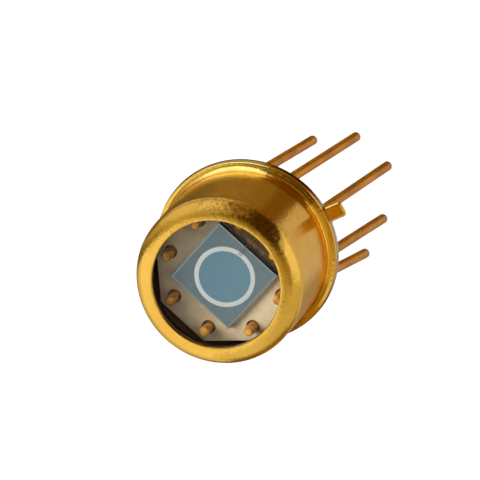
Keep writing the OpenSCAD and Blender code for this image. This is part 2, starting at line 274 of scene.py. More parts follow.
def arc(centre, radius, start, end, steps):
    """Points along an arc, with its ends, as (r, z) or (x, y) pairs. Angles are in degrees."""
    turns = [math.radians(t) for t in spread(start, end, steps)]
    return [(centre[0] + radius * math.cos(t), centre[1] + radius * math.sin(t)) for t in turns]


def circle(centre, radius, steps, clockwise=False, first=0.0):
    """Outline of a circle, from its first corner's angle in degrees. Round a hole it runs clockwise."""
    points = arc(centre, radius, first, first + 360, steps)[:-1]
    return points[::-1] if clockwise else points


def lead_holes(radius, steps):
    """Outlines of round holes for the leads."""
    return [circle(p.xy, radius, steps, True) for p in lead_places()]


def held(profile, gap):
    """The closed profile with a point close to both ends of each long side, which keeps that side's shading flat."""
    points = []
    for i, point in enumerate(profile):
        a, b = Vector(point), Vector(profile[(i + 1) % len(profile)])
        points.append(a)
        if (b - a).length > 4 * gap:
            step = (b - a).normalized() * gap
            points += [a + step, b - step]
    return points


def join_rings(bm, rings):
    """Joins each closed ring of corners to the next one by a band of smooth faces."""
    for one, other in zip(rings, rings[1:]):
        for i in range(len(one)):
            j = (i + 1) % len(one)
            bm.faces.new((one[i], one[j], other[j], other[i])).smooth = True


def add_lathe(bm, profile, segments, gap=0.012 * MM):
    """Adds the solid of a closed (r, z) profile, turned round the Z axis."""
    points = held(profile, gap)
    rings = []
    for t in spread(0, 2 * math.pi, segments)[:-1]:
        rings.append([bm.verts.new((p[0] * math.cos(t), p[0] * math.sin(t), p[1])) for p in points])
    join_rings(bm, [*rings, rings[0]])


def inset_loop(loop, depth):
    """The outline moved to its left by a depth, with mitred corners."""
    moved = []
    for i, point in enumerate(loop):
        a, b, c = Vector(loop[i - 1]), Vector(point), Vector(loop[(i + 1) % len(loop)])
        before, after = (b - a).normalized(), (c - b).normalized()
        n, m = Vector((-before.y, before.x)), Vector((-after.y, after.x))
        moved.append(b + (n + m) * (depth / (1 + n.dot(m))))
    return moved


def add_plate(bm, loops, low, high, edge=0.0, steps=1):
    """Adds a closed plate with rounded rims between two heights. Its outlines have the material on their left."""
    turns = spread(0, math.pi / 2, steps) if edge else [math.pi / 2]
    levels = [(edge * (1 - math.sin(t)), low + edge * (1 - math.cos(t))) for t in turns]
    levels += [(edge * (1 - math.sin(t)), high - edge * (1 - math.cos(t))) for t in reversed(turns)]
    rims = {0: [], len(levels) - 1: []}
    for loop in loops:
        rings = []
        for depth, z in levels:
            rings.append([bm.verts.new((p[0], p[1], z)) for p in inset_loop(loop, depth)])
        join_rings(bm, rings)
        for level, edges in rims.items():
            ring = rings[level]
            edges += [bm.edges.get((ring[i], ring[(i + 1) % len(ring)])) for i in range(len(ring))]
    for level, edges in rims.items():
        filled = bmesh.ops.triangle_fill(bm, use_beauty=True, edges=edges, normal=(0, 0, 1 if level else -1))
        for item in filled["geom"]:
            if isinstance(item, bmesh.types.BMFace):
                item.smooth = False


def add_tube(bm, stations, sides):
    """Adds a closed round bar. Each station has its centre, its direction, the bend's own axis and a radius."""
    rings = []
    for centre, direction, across, radius in stations:
        other = direction.cross(across).normalized()
        turns = spread(0, 2 * math.pi, sides)[:-1]
        spots = [centre + (across * math.cos(t) + other * math.sin(t)) * radius for t in turns]
        rings.append([bm.verts.new(spot) for spot in spots])
    join_rings(bm, rings)
    for ring in (rings[0], rings[-1]):
        bm.faces.new(ring).smooth = False


def rounded_ends(stations, end, steps):
    """The stations of a bar with both its ends rounded."""
    turns = spread(0, math.pi / 2, steps)[:-1]
    ends = []
    for (centre, direction, across, radius), way in ((stations[0], -end), (stations[-1], end)):
        ends.append([
            (centre + direction * way * math.cos(t), direction, across, radius - end * (1 - math.sin(t)))
            for t in turns
        ])
    return ends[0] + stations + ends[1][::-1]


def move_new(bm, before, vec):
    """Moves what was added to a bmesh since it had only these corners."""
    bmesh.ops.translate(bm, verts=[v for v in bm.verts if v not in before], vec=vec)


def place_object(name, data):
    """Puts a new object with this data into the scene."""
    item = bpy.data.objects.new(name, data)
    bpy.context.scene.collection.objects.link(item)
    return item


def finish_piece(name, bm, material, nodes):
    """Makes a piece of the object from a bmesh. It rides on the part and stands for its packed nodes."""
    bmesh.ops.recalc_face_normals(bm, faces=bm.faces)
    for edge in bm.edges:
        edge.smooth = edge.calc_face_angle(0.0) < SHARP
    mesh = bpy.data.meshes.new(name)
    bm.to_mesh(mesh)
    bm.free()
    mesh.materials.append(material)
    piece = place_object(name, mesh)
    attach(piece, BODY)
    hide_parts(*nodes)
    return piece


def dress(material, slot, *nodes):
    """Gives a material to packed nodes that are shown as they are."""
    for node in nodes:
        piece = frame["nodes"][node]
        piece.data.materials.clear()
        piece.data.materials.append(material)


def new_material(name):
    """A new material and its node tree."""
    material = bpy.data.materials.new(name)
    material.use_nodes = True
    return material, material.node_tree


def feed(tree, node, sockets):
    """Gives a node's sockets, by their names or places, fixed values or links from other nodes."""
    for key, value in sockets.items():
        if isinstance(value, bpy.types.NodeSocket):
            tree.links.new(value, node.inputs[key])
        else:
            node.inputs[key].default_value = value


def add_node(tree, kind, sockets, **options):
    """Adds a shader node with its options and sockets."""
    node = tree.nodes.new("ShaderNode" + kind)
    for option, choice in options.items():
        setattr(node, option, choice)
    feed(tree, node, sockets)
    return node


class Surface:
    """A procedural material, with its pattern in millimetres of the object's own space."""

    def __init__(self, name):
        self.material, self.tree = new_material(name)
        self.shader = self.tree.nodes["Principled BSDF"]
        place = self.add("TexCoord", {}).outputs["Object"]
        self.place = self.vector("SCALE", {0: place, "Scale": 1 / MM})

    def add(self, kind, sockets, **options):
        """Adds a node to the material."""
        return add_node(self.tree, kind, sockets, **options)

    def vector(self, operation, sockets, output="Vector"):
        """A step of vector arithmetic."""
        return self.add("VectorMath", sockets, operation=operation).outputs[output]

    def feed(self, **sockets):
        """Gives the shader's own sockets values or patterns. Spaces in their names are written as underscores."""
        feed(self.tree, self.shader, {name.replace("_", " "): value for name, value in sockets.items()})

    def noise(self, scale, detail=4.0, stretch=None, rough=0.5):
        """A noise pattern with so many features to the millimetre."""
        place = self.vector("MULTIPLY", {0: self.place, 1: stretch}) if stretch else self.place
        sockets = {"Vector": place, "Scale": scale, "Detail": detail, "Roughness": rough}
        return self.add("TexNoise", sockets).outputs["Fac"]

    def ramp(self, source, stops):
        """Colours along a pattern, from (position, colour) pairs."""
        ramp = self.add("ValToRGB", {"Fac": source})
        elements = ramp.color_ramp.elements
        while len(elements) < len(stops):
            elements.new(1.0)
        for element, (position, shade) in zip(elements, stops):
            element.position = position
            element.color = (*shade, 1.0)
        return ramp.outputs["Color"]

    def range(self, source, low, high, start=0.3, end=0.7):
        """A pattern spread over a range of values."""
        sockets = {"Value": source, "From Min": start, "From Max": end, "To Min": low, "To Max": high}
        return self.add("MapRange", sockets).outputs["Result"]

    def past(self, source, limit, start, end):
        """One past a limit and nought before it. The border starts and ends so many millimetres off the limit."""
        return self.range(source, 0.0, 1.0, limit / MM + start, limit / MM + end)

    def before(self, source, limit, start, end):
        """One before a limit and nought past it, with such a border."""
        return self.range(source, 1.0, 0.0, limit / MM + start, limit / MM + end)

    def bump(self, height, depth, under=None):
        """A normal from a pattern's height, whose full depth is in millimetres."""
        sockets = {"Distance": depth * MM, "Height": height}
        if under is not None:
            sockets["Normal"] = under
        return self.add("Bump", sockets).outputs["Normal"]

    def radius(self, centre=(0.0, 0.0)):
        """Distance from an upright line, or from the can's axis, in millimetres. The line's place is in metres."""
        shift = (-centre[0] / MM, -centre[1] / MM, 0)
        flat = self.vector("MULTIPLY_ADD", {0: self.place, 1: (1, 1, 0), 2: shift})
        return self.vector("LENGTH", {0: flat}, "Value")

    def along(self, turn):
        """Distance from the can's axis to one side, in millimetres. The turn is from the tab."""
        return self.vector("DOT_PRODUCT", {0: self.place, 1: (math.cos(turn), math.sin(turn), 0)}, "Value")

    def height(self):
        """Height above the seating plane, in millimetres."""
        return self.add("SeparateXYZ", {0: self.place}).outputs["Z"]

    def largest(self, one, other):
        """The larger of two patterns."""
        return self.add("Math", {0: one, 1: other}, operation="MAXIMUM").outputs[0]

    def sum(self, one, other):
        """Two patterns added up."""
        return self.add("Math", {0: one, 1: other}, operation="ADD").outputs[0]

    def mixed(self, share, shade, pattern):
        """A colour or a first pattern where the share is nought, and a pattern where it is one."""
        if not isinstance(shade, bpy.types.NodeSocket):
            shade = (*shade, 1.0)
        return self.add("Mix", {0: share, 6: shade, 7: pattern}, data_type="RGBA").outputs[2]


def can_surface(name, bore=0.0, roof=0.0, aperture=0.0, rim=None):
    """Gold plate on drawn sheet, with drawing marks, a grain and tarnish. A bore is duller and darkened with painted
    shade, and a rim dark or worn.
    """
    look = settings("finish")
    gold = Surface(name)
    gold.feed(Metallic=1.0)
    tone = gold.noise(0.7, detail=5.0, rough=0.6)
    plate = gold.ramp(tone, [(0.35, look.gold_dark), (0.62, look.gold)])
    grain = gold.noise(6.5)
    clean = gold.largest(
        gold.range(gold.along(TARNISHED_SIDE), 1.0, 0.0, *TARNISH_REACH),
        gold.range(gold.height(), 1.0, 0.0, *TARNISH_HEIGHT),
    )
    clean = gold.largest(clean, gold.range(gold.noise(5.0), 0.0, 1.0, 0.4, 0.52))
    plate = gold.mixed(clean, look.speck, plate)
    # Painted shade: inside the bore and below its roof the plating is duller and darkened to the bore colour
    if bore:
        outside = gold.largest(
            gold.past(gold.radius(), bore, 0.01, 0.03), gold.past(gold.height(), roof, -0.02, 0.0)
        )
        plate = gold.mixed(outside, look.bore, plate)
        gold.feed(Metallic=gold.range(outside, 0.5, 1.0))
        plate = gold.mixed(gold.past(gold.radius(), aperture, 0.005, 0.02), look.aperture, plate)
    if rim:
        start, end = rim
        plated = gold.largest(
            gold.before(gold.radius(), start, -0.015, 0.0), gold.past(gold.radius(), end, 0.01, 0.03)
        )
        worn = gold.range(gold.along(WORN_SIDE), 0.0, 1.0, *(share * end / MM for share in WORN_SHARES))
        plate = gold.mixed(plated, gold.ramp(worn, [(0.0, look.rim_dark), (1.0, look.rim)]), plate)
    rise = gold.range(gold.height(), 0.0, 0.055, *DULLING_HEIGHT)
    gold.feed(Base_Color=plate, Roughness=gold.sum(gold.range(grain, 0.1, 0.17), rise))
    marks = gold.noise(9.0, detail=3.0, stretch=(1.0, 1.0, 0.05))
    waves = gold.bump(gold.noise(1.3, detail=2.0), 0.012)
    drawn = gold.bump(marks, 0.0016, waves)
    gold.feed(Normal=gold.bump(grain, 0.011, drawn))
    return gold.material


def lead_surface(name, tips):
    """Gold plate on drawn wire: duller, with lines along the wire, dark tips and dull posts inside the can."""
    look = settings("finish")
    gold = Surface(name)
    gold.feed(Metallic=gold.range(gold.height(), 0.85, 0.4, *POST_HEIGHT), Specular_IOR_Level=0.1)
    tone = gold.noise(1.6, detail=5.0, stretch=(1.0, 1.0, 0.3), rough=0.65)
    plate = gold.ramp(tone, [(0.34, look.lead_dark), (0.6, look.lead)])
    tip = gold.range(gold.height(), 0.3, 1.0, tips / MM, tips / MM + 0.35)
    plate = gold.mixed(tip, tuple(0.3 * c for c in look.lead_dark), plate)
    post = gold.ramp(gold.noise(4.5), [(0.4, look.post_dark), (0.58, look.post)])
    outside = gold.range(gold.height(), 1.0, 0.0, *POST_HEIGHT)
    gold.feed(Base_Color=gold.mixed(outside, post, plate))
    lines = gold.noise(28.0, detail=3.0, stretch=(1.0, 1.0, 0.03))
    gold.feed(Roughness=gold.range(lines, 0.26, 0.42), Normal=gold.bump(lines, 0.0015))
    return gold.material


def ceramic_surface(name, land=None):
    """Fired white ceramic: cream, with faint stains and a fine grain, and past a distance a dark metal land that
    carries painted shade.
    """
    look = settings("finish")
    ceramic = Surface(name)
    stains = ceramic.noise(1.1, detail=6.0, rough=0.65)
    fired = ceramic.ramp(stains, [(0.3, look.ceramic_dark), (0.55, look.ceramic)])
    # Painted shade: past the chip's side the ceramic takes the dark land, a metal film with painted shadow
    if land is not None:
        film = ceramic.ramp(ceramic.noise(3.2), [(0.42, look.land_dark), (0.64, look.land)])
        bare = ceramic.before(ceramic.along(DIE_TURN), land, -0.02, 0.02)
        fired = ceramic.mixed(bare, film, fired)
    grain = ceramic.noise(40.0, detail=3.0)
    ceramic.feed(Base_Color=fired, Roughness=ceramic.range(grain, 0.45, 0.65), Normal=ceramic.bump(grain, 0.004))
    return ceramic.material


def chip_surface(name, centre, radius, top):
    """Coated silicon, with the active area a little bluer than the rest and dark sides."""
    look = settings("finish")
    chip = Surface(name)
    zone = chip.past(chip.radius(centre), radius, -0.004, 0.004)
    face = chip.ramp(zone, [(0.0, look.chip_active), (1.0, look.chip)])
    upper = chip.past(chip.height(), top, -0.02, -0.01)
    haze = chip.noise(3.0, detail=5.0)
    chip.feed(Base_Color=chip.mixed(upper, look.chip_side, face), Metallic=0.7)
    chip.feed(Roughness=chip.range(haze, 0.18, 0.24))
    return chip.material


def film_surface(name, shade, rough_low, rough_high, edge=None, centre=(0.0, 0.0), reach=0.0):
    """A thin metal film or a small metal piece, faintly grained. Past a reach it can have another colour: a duller
    metal line, or painted shade.
    """
    film = Surface(name)
    grain = film.noise(18.0)
    darker = tuple(0.82 * c for c in shade)
    tone = film.ramp(grain, [(0.35, darker), (0.6, shade)])
    if edge is not None:
        inner = film.before(film.radius(centre), reach, 0.0, 0.02)
        tone = film.mixed(inner, edge, tone)
    film.feed(Base_Color=tone, Metallic=1.0)
    film.feed(Roughness=film.range(grain, rough_low, rough_high), Normal=film.bump(grain, 0.0006))
    return film.material


def seal_surface(name, shade, rough):
    """Dark sealing glass with a few small bubbles under its skin."""
    seal = Surface(name)
    cloud = seal.noise(2.5)
    darker = tuple(0.5 * c for c in shade)
    bubbles = seal.noise(3.5, detail=1.0)
    seal.feed(Base_Color=seal.ramp(cloud, [(0.35, darker), (0.65, shade)]))
    seal.feed(Roughness=seal.range(cloud, rough, 2.3 * rough), Normal=seal.bump(bubbles, 0.004))
    return seal.material


def window_surface(name):
    """Polished and coated clear glass with a trace of wiping marks."""
    glass = Surface(name)
    glass.feed(Base_Color=(0.97, 0.985, 0.98, 1.0), Transmission_Weight=1.0, IOR=1.5)
    glass.feed(Specular_IOR_Level=0.04, Specular_Tint=(0.08, 0.08, 0.08, 1.0))
    wipes = glass.noise(0.8, stretch=(1.0, 0.25, 1.0))
    glass.feed(Roughness=glass.range(wipes, 0.0, 0.012))
    return glass.material


class PHOTODETECTOR_OT_cap(bpy.types.Operator):
    """Build the drawn cap with its shoulder, aperture and weld flange"""

    bl_idname = "photodetector.cap"
    bl_label = "Cap"
    bl_options = {"REGISTER", "UNDO"}

    def execute(self, context):
        shape = settings("shape")
        low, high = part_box("cap")
        glass_low, glass_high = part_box("window")
        sheet = high.z - glass_high.z
        wall = mount_radius("cap_wall")
        inner = wall - sheet
        aperture, flange = node_radii("cap")
        top, step = high.z, low.z + sheet
        steps = shape.rim_steps
        edge, root, lip, corner = shape.flange_edge, shape.root, shape.lip_edge, shape.corner
        profile = [(aperture, glass_high.z)]
        profile += arc((aperture + lip, top - lip), lip, 180, 90, steps)
        crown = wall - aperture - lip
        turns = arc((0, 0), 1, 90, 0, 4 * steps)
        profile += [(aperture + lip + crown * x, top + shape.shoulder * (y - 1)) for x, y in turns[1:]]
        profile += arc((wall + root, step + root), root, 180, 270, 4 * steps)
        profile += arc((flange - edge, step - edge), edge, 90, 0, steps)
        profile += arc((flange - edge, low.z + edge), edge, 0, -90, steps)
        profile += arc((inner + shape.mouth, low.z + shape.mouth), shape.mouth, 270, 180, steps)
        profile += arc((inner - corner, glass_high.z - corner), corner, 0, 90, steps)
        bm = bmesh.new()
        add_lathe(bm, profile, shape.segments)
        material = can_surface("cap_gold", inner, (glass_low.z + glass_high.z) / 2, aperture)
        finish_piece("can_cap", bm, material, ["cap"])
        return {"FINISHED"}


class PHOTODETECTOR_OT_header(bpy.types.Operator):
    """Build the eyelet with its flange and index tab"""

    bl_idname = "photodetector.header"
    bl_label = "Header"
    bl_options = {"REGISTER", "UNDO"}

    def execute(self, context):
        shape = settings("shape")
        low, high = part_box("header")
        flange, cavity, step = -low.x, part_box("seal_glass")[1].x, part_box("cap")[0].z
        roof = high.z - shape.eyelet_sheet
        wall = cavity + shape.eyelet_sheet
        half, corner, root = shape.tab_width / 2, shape.tab_corner, shape.tab_root
        steps, segments = shape.rim_steps, shape.segments
        reach = math.sqrt((flange + root) ** 2 - (half + root) ** 2)
        turn = math.degrees(math.atan2(half + root, reach))
        outline = arc((0, 0), flange, turn, 360 - turn, segments)
        outline += arc((reach, -half - root), root, 180 - turn, 90, steps)
        outline += arc((high.x - corner, corner - half), corner, -90, 0, steps)
        outline += arc((high.x - corner, half - corner), corner, 0, 90, steps)
        outline += arc((reach, half + root), root, 270, 180 + turn, steps)[:-1]
        bm = bmesh.new()
        add_plate(bm, [outline, circle((0, 0), cavity, segments, True)], low.z, step, shape.header_edge, steps)
        rim = shape.eyelet_edge
        rim = [p for p in arc((wall - rim, high.z - rim), rim, 0, 90, steps) if p[0] > cavity]
        add_lathe(bm, [(cavity, step), (wall, step), *rim, (cavity, high.z)], segments)
        holes = lead_holes(shape.seal_diameter / 2, SEAL_SIDES)
        add_plate(bm, [circle((0, 0), cavity, segments), *holes], roof, high.z)
        material = can_surface("header_gold", rim=(node_radii("cap")[1], flange))
        finish_piece("eyelet_header", bm, material, ["header"])
        return {"FINISHED"}


class PHOTODETECTOR_OT_leads(bpy.types.Operator):
    """Build the eight leads, each with its own lean"""

    bl_idname = "photodetector.leads"
    bl_label = "Leads"
    bl_options = {"REGISTER", "UNDO"}

    def tip(self, node, post):
        """Centre of a lead's lower end, found along the lead's run, which each round gives more closely."""
        form = settings("leads")
        points = node_points(node)
        lowest = min(points, key=lambda p: p.z)
        along = (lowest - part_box(node)[1]).normalized()
        foot = Vector((post.x, post.y, -form.stub - form.bend * FOOT_DROP))
        for _ in range(TIP_ROUNDS):
            far = max(p.dot(along) for p in points)
            ends = [p for p in points if p.dot(along) > far - TIP_BAND]
            middle = sum(ends, Vector()) / len(ends)
            along = (middle - foot).normalized()
        return middle

    def execute(self, context):
        form = settings("leads")
        radius, bend = form.diameter / 2, form.bend
        down = Vector((0, 0, -1))
        material = lead_surface("lead_gold", CAD_LOW.z)
        for k, post in enumerate(lead_places(), 1):
            node = f"lead_{k}"
            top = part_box(node)[1].z
            tip = self.tip(node, post)
            away = Vector((tip.x - post.x, tip.y - post.y, 0))
            out, drop = away.length - bend, -tip.z - form.stub
            run = math.sqrt(out * out + drop * drop - bend ** 2)
            lean = math.asin((run * out + bend * drop) / (run ** 2 + bend ** 2))
            away.normalize()
            across = away.cross(down).normalized()
            stub_end = Vector((post.x, post.y, -form.stub))
            stations = [
                (Vector((post.x, post.y, top - form.end)), down, across, radius),
                (stub_end, down, across, radius),
            ]
            for turn in spread(0, lean, BEND_STEPS)[1:]:
                centre = stub_end + away * bend * (1 - math.cos(turn)) + down * bend * math.sin(turn)
                direction = down * math.cos(turn) + away * math.sin(turn)
                stations.append((centre, direction, across, radius))
            stations.append((centre + direction * (run - form.end), direction, across, radius))
            bm = bmesh.new()
            add_tube(bm, rounded_ends(stations, form.end, END_STEPS), form.sides)
            finish_piece(f"can_lead_{k}", bm, material, [node])
        return {"FINISHED"}


class PHOTODETECTOR_OT_seals(bpy.types.Operator):
    """Build the glass in the eyelet and dress the solder glass round the window"""

    bl_idname = "photodetector.seals"
    bl_label = "Seals"
    bl_options = {"REGISTER", "UNDO"}

    def execute(self, context):
        shape = settings("shape")
        low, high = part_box("seal_glass")
        radius, rim = settings("leads").diameter / 2, shape.seal_diameter / 2
        roof = high.z - shape.eyelet_sheet
        creep = shape.meniscus
        fillet = arc((radius + creep, low.z - creep), creep, 180, 90, MENISCUS_STEPS)[1:]
        profiles = (
            [(radius, low.z), (radius, low.z - creep), *fillet],
            [(radius, roof), (rim, roof), (rim, high.z), (radius, high.z)],
        )
        bm = bmesh.new()
        outlines = [circle((0, 0), high.x, shape.segments), *lead_holes(radius, SEAL_SIDES)]
        add_plate(bm, outlines, low.z, roof)
        for place in lead_places():
            before = set(bm.verts)
            for profile in profiles:
                add_lathe(bm, profile, SEAL_SIDES)
            move_new(bm, before, (place.x, place.y, 0))
        look = settings("finish")
        material = seal_surface("seal_glass_dark", look.seal, 0.06)
        finish_piece("eyelet_glass", bm, material, ["seal_glass"])
        dress(seal_surface("solder_glass", look.window_seal, 0.4), "seal_glass", "window_seal")
        return {"FINISHED"}


class PHOTODETECTOR_OT_window(bpy.types.Operator):
    """Build the flat window under the cap's lip"""

    bl_idname = "photodetector.window"
    bl_label = "Window"
    bl_options = {"REGISTER", "UNDO"}

    def execute(self, context):
        shape = settings("shape")
        low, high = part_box("window")
        bm = bmesh.new()
        add_plate(bm, [circle((0, 0), high.x, shape.segments)], low.z, high.z, shape.window_edge, 2)
        piece = finish_piece("can_window", bm, window_surface("window_glass"), ["window"])
        piece.visible_shadow = False
        return {"FINISHED"}


class PHOTODETECTOR_OT_ceramics(bpy.types.Operator):
    """Build the detector ceramic and dress the level below it"""

    bl_idname = "photodetector.ceramics"
    bl_label = "Ceramics"
    bl_options = {"REGISTER", "UNDO"}

    def execute(self, context):
        shape = settings("shape")
        look = settings("finish")
        low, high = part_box("detector_substrate")
        corner = node_radii("detector_substrate")[1]
        hole = settings("leads").diameter / 2 + shape.hole_gap
        printed = ceramic_surface("alumina_land_shaded", half_side("photodiode_die"))
        bm = bmesh.new()
        holes = lead_holes(hole, CERAMIC_HOLE_SIDES)
        add_plate(bm, [circle((0, 0), corner, LEADS), *holes], low.z, high.z, shape.ceramic_edge, 3)
        finish_piece("detector_ceramic", bm, printed, ["detector_substrate"])
        standoffs = [f"standoff_{k}" for k in range(1, STANDOFFS + 1)]
        dress(ceramic_surface("alumina_cream"), "alumina", "circuit_substrate", *standoffs)
        # Painted shade: the gold film is darkened to the shade of the lip and the chip
        gold = film_surface("gold_film", look.trace, 0.4, 0.55)
        dress(gold, "gold_film", "circuit_traces", "amplifier_wires", "detector_traces")
        solder = film_surface("solder_satin", look.solder, 0.3, 0.45)
        dress(solder, "solder", "circuit_solder", "detector_solder", "die_attach")
        return {"FINISHED"}


class PHOTODETECTOR_OT_chip(bpy.types.Operator):
    """Build the photodiode chip and its metal film, and dress the amplifier chip"""

    bl_idname = "photodetector.chip"
    bl_label = "Chip"
    bl_options = {"REGISTER", "UNDO"}

    def square(self, half, clockwise=False):
        """Outline of a square in the chip's own turn."""
        return circle((0, 0), math.sqrt(2) * half, 4, clockwise, math.degrees(DIE_TURN) + 45)

    def execute(self, context):
        shape = settings("shape")
        look = settings("finish")
        low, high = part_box("photodiode_die")
        ring = shape.ring_diameter / 2
        centre = Vector((math.sin(DIE_TURN), -math.cos(DIE_TURN))) * shape.ring_shift
        material = chip_surface("silicon_coated", centre, ring, high.z)
        bm = bmesh.new()
        add_plate(bm, [self.square(half_side("photodiode_die"))], low.z, high.z, shape.chip_edge, 2)
        finish_piece("photodiode_chip", bm, material, ["photodiode_die"])
        dress(material, "silicon", "amplifier_die")
        low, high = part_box("contact_metal")
        outer = half_side("contact_metal")
        bm = bmesh.new()
        loops = [circle(centre, ring + shape.ring_width, RING_SIDES), circle(centre, ring, RING_SIDES, True)]
        add_plate(bm, loops, low.z, high.z)
        add_plate(bm, [self.square(outer), self.square(outer - shape.border_width, True)], low.z, high.z)
        reach = ring + 1.5 * shape.ring_width
        film = film_surface("contact_film", look.film, 0.3, 0.42, look.film_edge, centre, reach)
        finish_piece("chip_contacts", bm, film, ["contact_metal"])
        return {"FINISHED"}


class PHOTODETECTOR_OT_wires(bpy.types.Operator):
    """Build the two bond wires of the photodiode"""

    bl_idname = "photodetector.wires"
    bl_label = "Bond Wires"
    bl_options = {"REGISTER", "UNDO"}

    def execute(self, context):
        form = settings("leads")
        radius, foot = form.wire_diameter / 2, form.wire_foot / 2
        turn = Matrix.Rotation(-DIE_TURN, 3, "Z")
        look = settings("finish")
        # Painted shade: past this reach from the can's axis the wires take the darker wire colour
        reach = half_side("photodiode_die") + 10 * form.wire_diameter
        material = film_surface("wire_metal_shaded", look.wire, 0.3, 0.4, look.wire_painted_shade, reach=reach)
        for k in WIRES:
            points = [turn @ p for p in node_points(f"bond_wire_{k}")]
            across = sum(p.y for p in points) / len(points)
            start = Vector((min(p.x for p in points) + foot, across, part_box("contact_metal")[1].z))
            end = Vector((max(p.x for p in points) - foot, across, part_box("detector_traces")[1].z))
            bm = bmesh.new()
            for place in (start, end):
                before = set(bm.verts)
                add_plate(bm, [circle((0, 0), foot, FOOT_SIDES)], 0.0, 2 * radius, radius / 2, 2)
                move_new(bm, before, place)
            lift = Vector((0, 0, radius))
            a, b = start + lift, end + lift
            chord = b - a
            loop = chord.length / (2 * math.sin(form.wire_sweep / 2))
            normal = Vector((-chord.z, 0, chord.x)).normalized()
            centre = (a + b) / 2 - normal * loop * math.cos(form.wire_sweep / 2)
            first = math.atan2(a.z - centre.z, a.x - centre.x)
            stations = []
            for t in spread(first, first - form.wire_sweep, WIRE_STEPS):
                spot = centre + Vector((math.cos(t), 0, math.sin(t))) * loop
                stations.append((spot, Vector((math.sin(t), 0, -math.cos(t))), Vector((0, 1, 0)), radius))
            add_tube(bm, stations, WIRE_SIDES)
            bmesh.ops.transform(bm, matrix=Matrix.Rotation(DIE_TURN, 4, "Z"), verts=bm.verts)
            finish_piece(f"chip_wire_{k}", bm, material, [f"bond_wire_{k}"])
        return {"FINISHED"}


# Soft square lamps. Each has its side, seen from the camera's side, and its height, both in degrees, its width in
# metres, its brightness, and whether what lies behind the window mirrors it
LAMPS = (
    ("key", 109, 42, 0.22, 8.8, False),
    ("front", 0, 67, 0.2, 2.1, False),
    ("sky", 180, 67, 0.2, 0.58, True),
    ("right", -60, 12, 0.2, 1.5, False),
)
# Panels of the light tent, which only reflections show, the nearer ones last. Each has its lower and upper height,
# the sides between which it reaches, seen from the camera's side, or these at both heights, and a linear colour
PANELS = (
    ("top", 66, 90, (-180, 180), (0.27, 0.26, 0.23)),
    ("top_right", 68, 86, (-165, -60), (0.47, 0.4, 0.26)),
    ("rear", -60, 66, (-130, -50), (0.64, 0.63, 0.64)),
    ("mid", -14, 66, (98, 130), (0.5, 0.48, 0.42)),
    ("mid_low", -60, -14, (98, 130), (0.2, 0.16, 0.08)),
    ("sky_low", -18, 6, (128, 232), (0.78, 0.78, 0.72)),
    ("sky_foot", -58, -18, (128, 232), (0.45, 0.42, 0.33)),
    ("sky", 6, 71, (128, 204), (1.08, 1.08, 1.5)),
    ("sky_right", 6, 71, (204, 234), (0.78, 0.78, 0.95)),
    ("sky_high", 71, 80, (85, 190), (0.5, 0.49, 0.45)),
    ("left", -14, 44, (46, 108, 48, 104), (0.82, 0.84, 1.15)),
    ("left_low", -62, -14, (42, 104, 46, 104), (0.6, 0.57, 0.5)),
    ("left_high", 44, 66, (45, 118), (0.58, 0.57, 0.55)),
    ("gap", -58, 42, (140, 156, 114, 121), (0.2, 0.17, 0.1)),
    ("right", -25, 42, (-62, -10, -58, -20), (1.0, 1.02, 1.5)),
    ("right_low", -62, -25, (-64, -6, -60, -10), (0.72, 0.7, 0.8)),
    ("right_high", 42, 80, (-75, -20, -90, -30), (0.37, 0.29, 0.15)),
    ("low_edge", -4, 10, (-150, -100), (0.5, 0.42, 0.25)),
    ("low_gap", -48, -4, (-150, -100, -146, -102), (0.2, 0.15, 0.07)),
    ("floor", -90, -60, (-180, 180), (0.25, 0.15, 0.02)),
    ("floor_left", -90, -60, (100, 180), (0.17, 0.105, 0.015)),
    ("floor_low", -90, -58, (-180, -100), (0.36, 0.28, 0.15)),
    ("floor_right", -90, -56, (-100, -8), (0.64, 0.56, 0.42)),
    ("shade", -64, 72, (20, 38, 18, 50), (0.28, 0.2, 0.1)),
    ("dark_low", -90, -30, (-6, 22, -9, 22), (0.19, 0.1, 0.01)),
    ("dark", -30, 40, (-9, 22, -24, 24), (0.055, 0.028, 0.002)),
    ("shade_high", 50, 76, (26, 44, 30, 60), (0.16, 0.1, 0.02)),
    ("dark_high", 40, 82, (-24, 24, -52, 45), (0.045, 0.022, 0.001)),
)
# Near cards of the tent, which the foot of the wall, the flange and the tab mirror. Each has a lower and an upper
# edge and a linear colour. An edge has its distance from the can's axis and its height in millimetres, and its sides
CARDS = (
    ("spark", (18.0, -0.2, 28, 92), (7.0, 4.4, 38, 68), (1.35, 2.0, 4.8)),
    ("spark_low", (14.0, -8.0, 40, 66), (8.0, 0.1, 28, 90), (1.25, 1.8, 4.2)),
    ("amber", (18.0, -0.2, -12, 28), (7.0, 4.4, -14, 36), (0.22, 0.13, 0.02)),
    ("tab", (6.6, 9.4, -42, -23), (8.0, 11.2, -42, -23), (1.0, 0.95, 0.5)),
    ("tab_mirror", (9.7, 13.4, -45, -22), (11.5, 15.8, -45, -22), (0.8, 0.7, 0.3)),
    ("orange", (18.0, -0.2, -80, -12), (7.0, 4.4, -80, -14), (0.62, 0.46, 0.14)),
    ("rust", (18.0, -3.0, -112, -80), (7.0, 4.4, -112, -80), (0.34, 0.2, 0.03)),
    ("umber", (18.0, -3.0, -165, -112), (7.0, 4.4, -165, -112), (0.14, 0.08, 0.01)),
    ("rust_roof", (7.2, 4.5, -119, -100), (4.45, 4.4, -119, -100), (0.38, 0.21, 0.035)),
    ("umber_roof", (7.2, 4.5, -140, -119), (4.45, 4.4, -140, -119), (0.2, 0.1, 0.02)),
)


